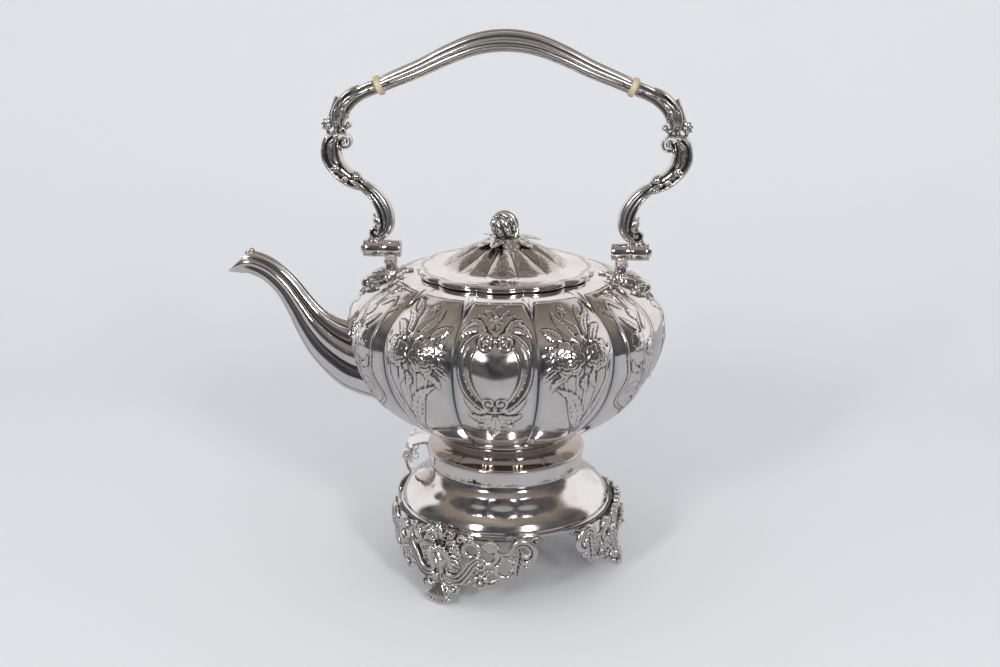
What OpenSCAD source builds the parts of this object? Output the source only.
// Melon-shaped spirit kettle with a swing handle, on its hinged lamp stand.
// Origin: on the kettle and stand axis, on the table. +Z up, spout towards -X,
// tilt hinge at -X, front lobe at -Y, lid hinge at +Y. Millimetres.

/* [Kettle body] */
// Largest radius of the body, over its lobes
body_r = 108.4; // [107:0.2:109.4]
// Height of the widest ring above the table
body_z = 176; // [175:0.25:177]
// Height of the bowl below the widest ring
bowl_h = 79.5; // [79:0.25:80]
// Height of the shoulder above the widest ring
shoulder_h = 43.8; // [43.4:0.1:44]
// Depth of the grooves between the lobes
groove_d = 4.5; // [2:0.5:5]
// Thickness of the sheet metal
sheet = 1.4; // [1.2:0.1:1.5]

/* [Lid] */
// Radius of the lid over its scallops
lid_r = 60.7; // [60.2:0.1:61]
// Height of the lid's rim above the table
lid_z = 219.2; // [219:0.1:219.5]
// Radius where the fluted dome meets the flat rim
lid_dome_r = 42; // [40:0.5:44]

/* [Handle] */
// Distance of the swing axis above the table
pivot_z = 230; // [229.5:0.1:231]
// Radius of the hinge barrels
barrel_r = 6.1; // [5.8:0.1:6.3]
// Seam between the two knuckles of a barrel, from the axis
seam_x = 84.2; // [84:0.1:84.4]
// Radius of the pivot pins
pivot_pin_r = 2; // [1.8:0.1:2.2]
// Radius of the insulator rings
ring_r = 6.7; // [6.5:0.1:7]

/* [Foot and stand] */
// Radius of the moulded rim of the kettle's foot
foot_r = 55.6; // [55.2:0.1:56]
// Height of the seam between the kettle's foot and the stand
seam_z = 77.4; // [77.2:0.1:77.6]
// Largest radius of the stand's dome
dome_r = 73.4; // [73:0.1:73.6]
// Height of the dome's lower edge
dome_z = 52.4; // [52.2:0.1:52.6]
// Distance of the toes from the axis
toe_r = 80; // [79:0.5:80.5]

/* [Tilt hinge] */
// Distance of the tilt axis from the kettle axis
tilt_x = 67.5; // [67:0.1:68]
// Height of the tilt axis
tilt_z = 86; // [85.5:0.1:86.5]
// Radius of the hinge pin
tilt_pin_r = 1.6; // [1.5:0.05:1.7]

/* [Spirit lamp] */
// Radius of the reservoir
lamp_r = 26.6; // [25:0.2:26.6]
// Radius of the wick
wick_r = 3; // [2.5:0.1:3]

/* [Hidden] */
$fn = 64;

lobes = 12;
lobe_deg = 360 / lobes;
steps_per_lobe = 4;              // facets across one lobe
shoulder_n = 2.4;                // squareness of the shoulder's curve
neck_r = 40;                     // body radius where the foot begins
mouth_r = 57;                    // body radius at the mouth
bowl_rings = 9;
shoulder_rings = 9;
run_gap = 0.05;                  // radial clearance of a pin that turns
gap = 0.3;                       // clearance between parts that pass each other

silver = [0.78, 0.77, 0.76];
dark_silver = [0.55, 0.54, 0.53];
ivory = [0.90, 0.85, 0.70];
lamp_metal = [0.70, 0.68, 0.62];
cotton = [0.88, 0.86, 0.80];

// ---------- lobed body surface ----------

neck_deg = acos(neck_r / body_r);
mouth_deg = acos(pow(mouth_r / body_r, shoulder_n / 2));
neck_z = body_z - bowl_h * sin(neck_deg);
mouth_z = body_z + shoulder_h * pow(sin(mouth_deg), 2 / shoulder_n);

function bowl_ring(i) = let(u = neck_deg * (1 - i / bowl_rings))
    [body_r * cos(u), body_z - bowl_h * sin(u)];
function shoulder_ring(i) = let(v = mouth_deg * i / shoulder_rings)
    [body_r * pow(cos(v), 2 / shoulder_n), body_z + shoulder_h * pow(sin(v), 2 / shoulder_n)];
RINGS = concat([for (i = [0 : bowl_rings - 1]) bowl_ring(i)],
               [for (i = [0 : shoulder_rings]) shoulder_ring(i)]);
LAST = len(RINGS) - 1;

function unit(v) = v / norm(v);
// Outward normal of the profile at ring k
function ring_normal(k) = let(a = RINGS[max(k - 1, 0)], b = RINGS[min(k + 1, LAST)],
    t = unit(b - a)) [t[1], -t[0]];
// The grooves fade out towards the neck and the mouth
function groove_at(r) = groove_d * min(1, max(0, (r - 58) / 38));
// How far the surface lies inside the lobe's crown, at angle a from the front lobe
function groove_in(r, a) = groove_at(r) * (1 - abs(cos(a * lobes / 2)));
// Point of the surface at ring k, angle a from +X, moved out by off along the normal
function body_point(k, a, off) = let(n = ring_normal(k),
    r = RINGS[k][0] + off * n[0] - groove_in(RINGS[k][0], a + 90))
    [r * cos(a), r * sin(a), RINGS[k][1] + off * n[1]];

// Closed solid with rings of equal length, capped at both ends
module ring_solid(rings) {
    n = len(rings[0]);
    m = len(rings);
    polyhedron(
        points = [for (r = rings) for (p = r) p],
        faces = concat(
            [[for (i = [0 : n - 1]) i]],
            [for (j = [0 : m - 2]) for (i = [0 : n - 1])
                let(k = (i + 1) % n) each [[j * n + i, (j + 1) * n + k, j * n + k],
                    [j * n + i, (j + 1) * n + i, (j + 1) * n + k]]],
            [[for (i = [n - 1 : -1 : 0]) (m - 1) * n + i]]));
}

// Tube whose rings close on themselves: outer rings up, inner rings back down
module loop_solid(rings) {
    n = len(rings[0]);
    m = len(rings);
    polyhedron(
        points = [for (r = rings) for (p = r) p],
        faces = [for (j = [0 : m - 1]) for (i = [0 : n - 1])
            let(k = (i + 1) % n, q = (j + 1) % m) each [[j * n + i, q * n + k, j * n + k],
                [j * n + i, q * n + i, q * n + k]]]);
}

body_angles = [for (i = [0 : lobes * steps_per_lobe - 1]) i * lobe_deg / steps_per_lobe];

module body_shell() {
    loop_solid(concat(
        [for (k = [0 : LAST]) [for (a = body_angles) body_point(k, a, 0)]],
        [for (k = [LAST : -1 : 0]) [for (a = body_angles) body_point(k, a, -sheet)]]));
}

// Slab of the body's surface between two rings, half facets to each side of mid
module body_patch(mid, k_from, k_to, inner, outer, half = 1) {
    step = lobe_deg / steps_per_lobe;
    last = 2 * half;
    n = 2 * last + 2;
    m = k_to - k_from;
    cap = [for (i = [0 : last - 1]) each [[i, i + 1, n - 2 - i], [i, n - 2 - i, n - 1 - i]]];
    polyhedron(
        points = [for (k = [k_from : k_to]) for (i = [0 : n - 1])
            body_point(k, mid + step * ((i <= last ? i : n - 1 - i) - half), i <= last ? outer : inner)],
        faces = concat(
            cap,
            [for (j = [0 : m - 1]) for (i = [0 : n - 1]) let(k = (i + 1) % n)
                each [[j * n + i, (j + 1) * n + k, j * n + k], [j * n + i, (j + 1) * n + i, (j + 1) * n + k]]],
            [for (t = cap) [for (v = [t[0], t[2], t[1]]) m * n + v]]));
}

// ---------- sweeps along a path in the XZ plane ----------

function catmull(p0, p1, p2, p3, t) = 0.5 * ((2 * p1) + (p2 - p0) * t
    + (2 * p0 - 5 * p1 + 4 * p2 - p3) * t * t + (3 * p1 - p0 - 3 * p2 + p3) * t * t * t);
// Smooth list through the given rows, m steps between neighbours
function smooth(p, m) = concat([for (i = [0 : len(p) - 2]) for (j = [0 : m - 1])
    catmull(p[max(i - 1, 0)], p[i], p[i + 1], p[min(i + 2, len(p) - 1)], j / m)],
    [p[len(p) - 1]]);
// Section at row i of [x, z, half height, half width]; lip widens or narrows it
function section(p, i, sides, lip) = let(a = p[max(i - 1, 0)], b = p[min(i + 1, len(p) - 1)],
    t = unit([b[0] - a[0], b[1] - a[1]]))
    [for (s = [0 : sides - 1]) let(c = (p[i][2] + lip) * cos(s * 360 / sides),
        d = (p[i][3] + lip) * sin(s * 360 / sides))
        [p[i][0] - t[1] * c, d, p[i][1] + t[0] * c]];
module sweep(p, sides) {
    ring_solid([for (i = [len(p) - 1 : -1 : 0]) section(p, i, sides, 0)]);
}

module along_x(x0, x1, z, r) {
    translate([min(x0, x1), 0, z]) rotate([0, 90, 0]) cylinder(h = abs(x1 - x0), r = r);
}
module along_y(y0, y1, r) {
    translate([0, y1, 0]) rotate([90, 0, 0]) cylinder(h = y1 - y0, r = r);
}
module torus(big, wire) {
    rotate_extrude() translate([big, 0]) circle(r = wire, $fn = 24);
}
// Copies children onto the left side, at -X, or the right side, at +X
module side(s) {
    if (s < 0) mirror([1, 0, 0]) children(); else children();
}

// ---------- stand ----------

dome_out = [[53.4, seam_z], [54.4, seam_z - 3], [57, seam_z - 6.6], [61, seam_z - 9.6],
    [66, seam_z - 11.8], [69.9, seam_z - 13.8], [72.2, seam_z - 17.2],
    [dome_r, seam_z - 21.6], [dome_r, dome_z]];
dome_in = [for (i = [len(dome_out) - 1 : -1 : 0])
    [dome_out[i][0] - sheet - (i > 1 && i < 6 ? 0.4 : 0), dome_out[i][1] - (i > 1 && i < 6 ? 1.2 : 0)]];
ring_out = dome_r + 0.6;         // outer radius of the moulding under the dome
ring_in = dome_r - 2.4;
ring_low = dome_z - 2.5;

module stand_dome() {
    color(silver) rotate_extrude() polygon(concat(dome_out, dome_in));
}
module dome_envelope() {
    rotate_extrude() polygon(concat([[0, seam_z]], dome_out, [[0, dome_z]]));
}
module stand_base_ring() {
    color(silver) rotate_extrude() polygon([[ring_in, ring_low], [ring_out - 0.8, ring_low],
        [ring_out, ring_low + 0.8], [ring_out, dome_z], [ring_in, dome_z]]);
}

// Places children at angle a from the foot's middle, at radius r and height z,
// with local Z pointing outwards
module on_foot(a, r, z) {
    rotate([0, 0, a]) translate([0, -r, z]) rotate([90, 0, 0]) children();
}
module rod(a0, z0, a1, z1, r, thick) {
    p = [for (e = [[a0, z0], [a1, z1]]) [r * sin(e[0]), -r * cos(e[0]), e[1]]];
    d = p[1] - p[0];
    translate(p[0]) rotate([0, 0, atan2(d[1], d[0])])
        rotate([0, 90 - atan2(d[2], norm([d[0], d[1]])), 0]) cylinder(h = norm(d), r = thick, $fn = 24);
}
module arc_plate(half, z0, z1, r0, r1) {
    rotate([0, 0, -90 - half]) rotate_extrude(angle = 2 * half)
        translate([r0, z0]) square([r1 - r0, z1 - z0]);
}
module scroll_ring(a, z, r, hole, thick) {
    on_foot(a, ring_out + 0.6, z) difference() {
        cylinder(h = thick, r = r, $fn = 32);
        translate([0, 0, -1]) cylinder(h = thick + 2, r = hole, $fn = 32);
    }
}
foot_half = 44;                  // half of the angle that one foot spans
foot_mid_r = ring_out + 3;

module foot_casting(turn) {
    color(dark_silver) rotate([0, 0, turn]) {
        // Shield behind the mask, and the mask itself as a plain boss
        arc_plate(11, 27, 56, ring_out, ring_out + 4);
        on_foot(0, ring_out + 2, 40) cylinder(h = 6, r = 8.5);
        // Toe with a flat sole, and its stem
        translate([0, -toe_r, 0]) cylinder(h = 9, r1 = 7, r2 = 5.6);
        translate([0, -toe_r + 0.9, 8]) cylinder(h = 22, r1 = 5.1, r2 = 3.4);
        // Rail along the dome's edge
        arc_plate(foot_half, 49, 54, ring_out, ring_out + 3.2);
        for (s = [-1, 1]) {
            scroll_ring(s * 11, 14, 5, 2, 5);
            rod(s * 2, 21, s * 11, 17.5, foot_mid_r + 2.2, 2.4);
            rod(s * 5, 27, s * 19, 32, foot_mid_r, 2.9);
            rod(s * 18, 31, s * 26, 50, foot_mid_r, 2.7);
            rod(s * 19, 32, s * 22, 21, foot_mid_r, 2.3);
            on_foot(s * 22, ring_out + 1.4, 20) cylinder(h = 4.5, r = 5.4, $fn = 32);
            scroll_ring(s * 36, 46, 7.6, 4.4, 4);
            rod(s * 38, 39.5, s * 41, 33, foot_mid_r - 0.4, 2);
            on_foot(s * 41.5, ring_out + 0.9, 31) cylinder(h = 3.6, r = 3.8, $fn = 32);
        }
    }
}
module foot_front_left() { foot_casting(-30); }
module foot_back_left() { foot_casting(-150); }
module foot_right() { foot_casting(90); }

eye_r = 3.5;
eye_in = 12;                     // inner and outer ends of the stand's two eyes
eye_out = 20;
leaf_t = 2;

module at_tilt_axis() { translate([-tilt_x, 0, tilt_z]) children(); }

module stand_hinge_leaf() {
    color(silver) difference() {
        union() {
            at_tilt_axis() for (y = [-eye_out, eye_in]) along_y(y, y + eye_out - eye_in, eye_r);
            for (y = [-eye_out, eye_in]) translate([-tilt_x - 1.6, y, tilt_z - 7])
                cube([leaf_t + 1.2, eye_out - eye_in, 6]);
            translate([-tilt_x - 0.8 + leaf_t, 0, 0]) rotate([90, 0, -90])
                linear_extrude(leaf_t) polygon([[-eye_out, tilt_z - 6], [-eye_out, tilt_z - 7.5],
                    [-2.5, 57], [2.5, 57], [eye_out, tilt_z - 7.5], [eye_out, tilt_z - 6]]);
        }
        at_tilt_axis() along_y(-eye_out - 1, eye_out + 1, tilt_pin_r + run_gap);
        at_tilt_axis() along_y(-eye_in, eye_in, eye_r + gap);
        dome_envelope();
    }
}

cradle_top = dome_z - 0.5;
cradle_in = lamp_r + 0.4;
module lamp_cradle() {
    color(silver) union() {
        rotate_extrude() translate([cradle_in, cradle_top - 9]) square([2.5, 9]);
        for (a = [-120, 0, 120]) rotate([0, 0, a]) translate([cradle_in + 2, -2.5, ring_low])
            cube([ring_in - cradle_in - 2.1, 5, cradle_top - ring_low]);
    }
}

// ---------- spirit lamp ----------

lamp_low = 24;
lamp_top = cradle_top + 1.4;
collar_r = 7;
module lamp_reservoir() {
    color(lamp_metal) rotate_extrude() polygon([[0, lamp_low], [lamp_r - 3, lamp_low],
        [lamp_r, lamp_low + 3], [lamp_r, cradle_top], [lamp_r + 4.6, cradle_top],
        [lamp_r + 4.6, lamp_top], [collar_r, lamp_top], [collar_r, lamp_top - 1.2],
        [lamp_r - 1.2, lamp_top - 1.2], [lamp_r - 1.2, lamp_low + 3.5],
        [lamp_r - 3.4, lamp_low + 1.2], [0, lamp_low + 1.2]]);
}
tube_top = lamp_top + 6.4;
tube_r = wick_r + 1.2;
module lamp_collar() {
    color(lamp_metal) rotate_extrude() polygon([[wick_r, lamp_top - 6], [collar_r, lamp_top - 6],
        [collar_r, lamp_top], [collar_r + 3, lamp_top], [collar_r + 3, lamp_top + 2.4],
        [tube_r, lamp_top + 2.4], [tube_r, tube_top], [wick_r, tube_top]]);
}
module wick() {
    color(cotton) translate([0, 0, lamp_low + 2]) cylinder(h = tube_top + 1.6 - lamp_low - 2, r = wick_r);
}
cap_in = tube_r + 0.4;
cap_low = lamp_top + 2.8;
cap_top = tube_top + 3.8;
module snuffer_cap() {
    color(silver) union() {
        rotate_extrude() polygon([[cap_in, cap_low], [cap_in + 1.8, cap_low],
            [cap_in + 1.2, cap_low + 1], [cap_in + 1.2, cap_top - 1], [cap_in, cap_top],
            [0, cap_top], [0, cap_top - 1.2], [cap_in, cap_top - 1.2]]);
        translate([0, 0, cap_top - 0.4]) cylinder(h = 1.6, r = 1.2);
        translate([0, 0, cap_top + 2.4]) sphere(r = 2);
    }
}

// ---------- hinge pin and its chain ----------

pin_head_y = eye_out + gap;
link_big = 2.3;
link_wire = 0.5;
chain_y = pin_head_y + 5.8;
link_step = 2 * (link_big - link_wire) - 0.1;
module tilt_pin() {
    color(silver) at_tilt_axis() union() {
        along_y(-eye_out - 0.6, pin_head_y + 3, tilt_pin_r);
        translate([0, -eye_out - 0.6, 0]) sphere(r = tilt_pin_r - 0.1);
        along_y(pin_head_y, pin_head_y + 1.6, 3);
        translate([0, chain_y, 0]) rotate([0, 90, 0]) torus(3, 0.6);
    }
}
module pin_chain() {
    color(silver) at_tilt_axis() translate([0, chain_y, 0]) for (i = [1 : 5])
        translate([0, 0, -3 + link_wire + 0.7 - link_big - (i - 1) * link_step])
            rotate(i % 2 == 1 ? [90, 0, 0] : [0, 90, 0]) torus(link_big, link_wire);
}

// ---------- kettle ----------

spout_hole_z = 152;
module kettle_body() {
    color(silver) difference() {
        body_shell();
        along_x(-body_r - 10, -body_r + 25, spout_hole_z, 9);
    }
}
floor_r = neck_r + 2;
module kettle_bottom() {
    color(silver) translate([0, 0, neck_z - sheet]) cylinder(h = sheet, r = floor_r);
}

// Turned foot: collar under the body, stepped cove, rim, tapering band
collar_z = neck_z - sheet;
rim_z = seam_z + 12.6;
foot_out = [[43.6, collar_z], [43.6, collar_z - 1.2], [45.2, collar_z - 1.8],
    [45.2, collar_z - 2.8], [46.4, collar_z - 3.4], [47.2, collar_z - 5.2], [49, collar_z - 7.2],
    [52, collar_z - 9], [foot_r - 0.6, rim_z + 0.6], [foot_r, rim_z], [foot_r, rim_z - 1.2],
    [foot_r - 0.5, rim_z - 1.6], [52.9, seam_z]];
foot_in = [[51.4, seam_z], [foot_r - 2, rim_z - 2], [50, collar_z - 10.6], [46.6, collar_z - 8.4],
    [44.6, collar_z - 5.2], [43, collar_z - 3.4], [41.6, collar_z - 1.6], [34, collar_z - 1.6],
    [34, collar_z]];
module kettle_foot() {
    color(silver) rotate_extrude() polygon(concat(foot_out, foot_in));
}
module foot_envelope() {
    rotate_extrude() polygon(concat(foot_out, [[0, seam_z], [0, collar_z]]));
}

collar_out = 56.4;
collar_in = 55.2;
collar_top = lid_z - 1.6;
module mouth_collar() {
    color(silver) rotate_extrude() translate([collar_in, mouth_z - 8])
        square([collar_out - collar_in, collar_top - mouth_z + 8]);
}

// Spout: rows of x, z, half height and half width from root to tip
spout_rows = [[-97, 151, 27, 18], [-105, 153.5, 25, 17.5], [-114.5, 158.5, 21.4, 16],
    [-124.5, 166, 17.6, 13.8], [-134, 176.5, 13.4, 11.2], [-141.8, 188.6, 10.6, 9.6],
    [-151.4, 203, 9.1, 8.6], [-163, 213.8, 8.6, 8.2], [-175, 218.6, 8.2, 7.8],
    [-183.5, 216.8, 6.6, 6.6], [-190.3, 213, 4.6, 4.6]];
lip_top = [-174, 227.5];         // line along which the beak is cut open
lip_tip = [-191.5, 212.2];
spout_path = smooth(spout_rows, 2);
spout_wall = 1.3;
module spout_shell() {
    m = len(spout_path);
    loop_solid(concat([for (i = [m - 1 : -1 : 0]) section(spout_path, i, 16, 0)],
        [for (i = [0 : m - 1]) section(spout_path, i, 16, -spout_wall)]));
}
module spout() {
    color(silver) difference() {
        spout_shell();
        body_patch(180, 3, 13, -40, 0, 3);
        translate([lip_top[0], 15, lip_top[1]]) rotate([90, 0, 0])
            rotate(atan2(lip_tip[1] - lip_top[1], lip_tip[0] - lip_top[0]))
                mirror([0, 1, 0]) cube([40, 20, 30]);
    }
}

// Handle ears: leafy pads that follow the shoulder
ear_t = 2.6;
ear_from = 13;
ear_to = 16;
module ear(mid) {
    color(dark_silver) body_patch(mid, ear_from, ear_to, 0.1, ear_t);
}
module ear_left() { ear(180); }
module ear_right() { ear(0); }

barrel_in = 71.4;
barrel_out = 96.9;
post_in = 74;
post_out = 83;
post_half = 4.2;
module handle_post(s) {
    color(silver) side(s) difference() {
        union() {
            along_x(barrel_in, seam_x - gap / 2, pivot_z, barrel_r);
            translate([post_in, -post_half, mouth_z - 12])
                cube([post_out - post_in, 2 * post_half, pivot_z - mouth_z + 8]);
        }
        along_x(barrel_in - 1, seam_x + 1, pivot_z, pivot_pin_r);
        body_patch(0, 12, 17, -30, ear_t);
    }
}
module handle_post_left() { handle_post(-1); }
module handle_post_right() { handle_post(1); }

module pivot_pin(s) {
    color(silver) side(s) union() {
        along_x(barrel_in, barrel_out + gap, pivot_z, pivot_pin_r);
        translate([barrel_out + gap, 0, pivot_z]) rotate([0, 90, 0])
            cylinder(h = 1.2, r1 = 3.6, r2 = 2.6);
    }
}
module pivot_pin_left() { pivot_pin(-1); }
module pivot_pin_right() { pivot_pin(1); }

knuckle_half = eye_in - gap;
module kettle_hinge_leaf() {
    color(silver) difference() {
        union() {
            at_tilt_axis() along_y(-knuckle_half, knuckle_half, eye_r);
            translate([-tilt_x, -knuckle_half, tilt_z + eye_r - leaf_t])
                cube([tilt_x - foot_r + 4, 2 * knuckle_half, leaf_t]);
        }
        at_tilt_axis() along_y(-eye_out, eye_out, tilt_pin_r + run_gap);
        foot_envelope();
    }
}

// ---------- lid ----------

lid_axis_y = 64.6;
lid_axis_z = lid_z + 0.4;
lid_eye_r = 2.2;
lid_pin_r = 1;
module at_lid_axis() { translate([0, lid_axis_y, lid_axis_z]) children(); }

module lid_hinge_base() {
    color(silver) difference() {
        union() for (x = [-11, 6.2]) {
            translate([x, lid_axis_y - 1.6, mouth_z - 8]) cube([4.8, 3.2, lid_axis_z - mouth_z + 8]);
            at_lid_axis() translate([0, 0, -lid_axis_z]) along_x(x, x + 4.8, lid_axis_z, lid_eye_r);
        }
        at_lid_axis() translate([0, 0, -lid_axis_z]) along_x(-20, 20, lid_axis_z, lid_pin_r);
        body_patch(90, 13, LAST, -30, 0, 2);
    }
}
module lid_hinge_pin() {
    color(silver) translate([0, lid_axis_y, 0]) along_x(-11.6, 11.6, lid_axis_z, lid_pin_r);
}
module scallops(r) {
    bulge = 30;
    union() {
        circle(r = r - 9, $fn = 96);
        for (i = [0 : lobes - 1]) rotate(i * lobe_deg) translate([r - bulge, 0])
            circle(r = bulge, $fn = 64);
    }
}
lid_skirt = 3.1;
lid_t = 1.4;
lid_out = [[0, lid_z + 17.2], [14, lid_z + 16], [20, lid_z + 14.4], [27, lid_z + 11.3],
    [33, lid_z + 7.8], [38, lid_z + 4.4], [lid_dome_r, lid_z + 1.7], [50, lid_z + 0.4]];
lid_in = [for (i = [len(lid_out) - 2 : -1 : 0])
    [max(0, lid_out[i][0] - 0.7), lid_out[i][1] - lid_t - 0.5]];
module lid() {
    color(silver) difference() {
        union() {
            difference() {
                translate([0, 0, lid_z - lid_skirt]) linear_extrude(lid_skirt) scallops(lid_r);
                translate([0, 0, lid_z - lid_skirt - 1]) linear_extrude(lid_skirt + 1 - lid_t)
                    scallops(lid_r - 1.3);
                translate([0, 0, lid_z - 2]) cylinder(h = 4, r = 48, $fn = 96);
            }
            rotate_extrude() polygon(concat(lid_out, [[50, lid_z - lid_t]], [[46, lid_z - lid_t]], lid_in));
        }
        translate([0, 0, lid_z]) cylinder(h = 30, r = finial_bolt_r);
        // Room for the hinge's knuckles
        for (x = [-11.4, 5.8]) translate([x, lid_axis_y - 5.4, lid_z - 5]) cube([5.6, 8, 8]);
    }
}
module lid_flange() {
    color(silver) rotate_extrude() translate([52.9, lid_z - lid_t - 9]) square([1.2, 9]);
}
module lid_hinge_leaf() {
    color(silver) difference() {
        union() {
            translate([0, lid_axis_y, 0]) along_x(-5.8, 5.8, lid_axis_z, lid_eye_r);
            translate([-5.8, lid_axis_y - 14, lid_z]) cube([11.6, 14, 1.2]);
        }
        translate([0, lid_axis_y, 0]) along_x(-10, 10, lid_axis_z, lid_pin_r + run_gap);
    }
}

finial_z = lid_z + 28.4;
finial_r = 9.5;
finial_bolt_r = 2;
calyx_z = lid_z + 17.2;
module calyx() {
    color(dark_silver) difference() {
        union() {
            translate([0, 0, calyx_z]) cylinder(h = 1.6, r = 6);
            for (i = [0 : 4]) rotate([0, 0, 72 * i + 18]) translate([0, -3.4, calyx_z + 0.3]) linear_extrude(1.4)
                polygon([[4, 0], [9, -2.2], [12, 0.6], [22.5, 3.4], [12, 6.2], [9, 9], [4, 6.8]]);
        }
        translate([0, 0, calyx_z - 1]) cylinder(h = 5, r = finial_bolt_r);
    }
}
module finial() {
    color(dark_silver) union() {
        translate([0, 0, finial_z]) sphere(r = finial_r);
        translate([0, 0, calyx_z + 1.6]) cylinder(h = 4.8, r = 3.2);
        translate([0, 0, calyx_z - 6]) cylinder(h = 10, r = finial_bolt_r);
    }
}
module finial_nut() {
    color(silver) translate([0, 0, calyx_z - 4.8]) difference() {
        cylinder(h = 2.4, r = 4.2, $fn = 6);
        translate([0, 0, -1]) cylinder(h = 5, r = finial_bolt_r);
    }
}

// ---------- swing handle ----------

// Insulator: centre and the slope of the handle there
ring_x = 83.4;
ring_z = 339.9;
ring_slope = 23;
ring_half = 2.3;
function ring_end(d) = [ring_x - d * cos(ring_slope), ring_z + d * sin(ring_slope)];

// Arm: rows of x, z, half height and half width from the insulator to the pivot
arm_rows = [concat(ring_end(-ring_half), [5.5, 5.4]), concat(ring_end(-12), [5.7, 5.4]),
    [105, 327, 5.8, 5.4], [110.8, 317.5, 6.2, 5.8], [111.6, 306.5, 7, 6],
    [116.8, 298, 6.2, 6], [114.8, 287.5, 5.8, 5.4], [107.4, 279.6, 5.2, 5], [98.2, 274, 4.7, 4.6],
    [89.8, 268, 4.7, 4.6], [83.6, 259.5, 5.1, 4.8], [80.8, 249.5, 5.9, 5.2], [82, 236.5, 7, 5.6]];
arm_path = smooth(arm_rows, 3);
spigot_r = 2.5;
spigot_in = 9;                   // how far a spigot enters the arm and the grip

module at_ring() {
    translate([ring_x, 0, ring_z]) rotate([0, 90 + ring_slope, 0]) children();
}
module spigot_space(r, h0, h1) {
    at_ring() translate([0, 0, h0]) cylinder(h = h1 - h0, r = r);
}
rivet_r = 0.9;
module rivet_line(d) {
    at_ring() translate([0, 0, d]) rotate([90, 0, 0]) translate([0, 0, -8]) cylinder(h = 16, r = rivet_r);
}
rivet_at = ring_half + 4.5;
module arm(s) {
    color(dark_silver) side(s) difference() {
        union() {
            sweep(arm_path, 12);
            translate([107.2, 5, 306.4]) rotate([90, 0, 0]) cylinder(h = 10, r = 6, $fn = 32);
            translate([90.4, 4, 241]) rotate([90, 0, 0]) cylinder(h = 8, r = 4.4, $fn = 32);
            translate([119.4, 0, 315.6]) sphere(r = 3.4, $fn = 24);
        }
        along_x(60, seam_x + gap / 2, pivot_z, barrel_r + gap + 0.1);
        along_x(seam_x - 1, 110, pivot_z, barrel_r);
        spigot_space(spigot_r, -1, ring_half + spigot_in);
        spigot_space(12, -4, ring_half);
        rivet_line(rivet_at);
    }
}
module arm_left() { arm(-1); }
module arm_right() { arm(1); }

module handle_knuckle(s) {
    color(silver) side(s) difference() {
        along_x(seam_x + gap / 2, barrel_out, pivot_z, barrel_r);
        along_x(seam_x - 1, barrel_out + 1, pivot_z, pivot_pin_r + run_gap);
    }
}
module handle_knuckle_left() { handle_knuckle(-1); }
module handle_knuckle_right() { handle_knuckle(1); }

module insulator(s) {
    color(ivory) side(s) at_ring() translate([0, 0, -ring_half]) difference() {
        cylinder(h = 2 * ring_half, r = ring_r);
        translate([0, 0, -1]) cylinder(h = 2 * ring_half + 2, r = spigot_r);
    }
}
module insulator_left() { insulator(-1); }
module insulator_right() { insulator(1); }

module spigot(s) {
    color(silver) side(s) difference() {
        spigot_space(spigot_r, -ring_half - spigot_in, ring_half + spigot_in);
        for (d = [-rivet_at, rivet_at]) rivet_line(d);
    }
}
module spigot_left() { spigot(-1); }
module spigot_right() { spigot(1); }

// Grip: rows of x, z, half height and half width, from the left ring to the right
grip_half = [concat(ring_end(ring_half), [5.3, 5.4]), concat(ring_end(10), [5.5, 5.8]),
    [56, 351.4, 6, 7.2], [38, 360, 6.6, 8.4], [19, 367, 7.2, 9]];
function flip(p) = [-p[0], p[1], p[2], p[3]];
grip_rows = concat([for (p = grip_half) flip(p)], [[0, 369.5, 7.5, 9.2]],
    [for (i = [len(grip_half) - 1 : -1 : 0]) grip_half[i]]);
grip_path = smooth(grip_rows, 3);
module grip() {
    color(silver) difference() {
        sweep(grip_path, 16);
        for (s = [-1, 1]) side(s) {
            spigot_space(spigot_r, -ring_half - spigot_in, 1);
            rivet_line(-rivet_at);
        }
    }
}
module handle_rivets() {
    color(silver) for (s = [-1, 1]) side(s) for (d = [-rivet_at, rivet_at])
        at_ring() translate([0, 6.4, d]) rotate([90, 0, 0]) cylinder(h = 12.8, r = rivet_r);
}

stand_dome();
stand_base_ring();
foot_front_left();
foot_back_left();
foot_right();
stand_hinge_leaf();
lamp_cradle();
lamp_reservoir();
lamp_collar();
wick();
snuffer_cap();
tilt_pin();
pin_chain();
kettle_body();
kettle_bottom();
kettle_foot();
spout();
mouth_collar();
ear_left();
ear_right();
handle_post_left();
handle_post_right();
pivot_pin_left();
pivot_pin_right();
kettle_hinge_leaf();
lid_hinge_base();
lid_hinge_pin();
lid();
lid_flange();
lid_hinge_leaf();
calyx();
finial();
finial_nut();
arm_left();
arm_right();
handle_knuckle_left();
handle_knuckle_right();
insulator_left();
insulator_right();
spigot_left();
spigot_right();
grip();
handle_rivets();
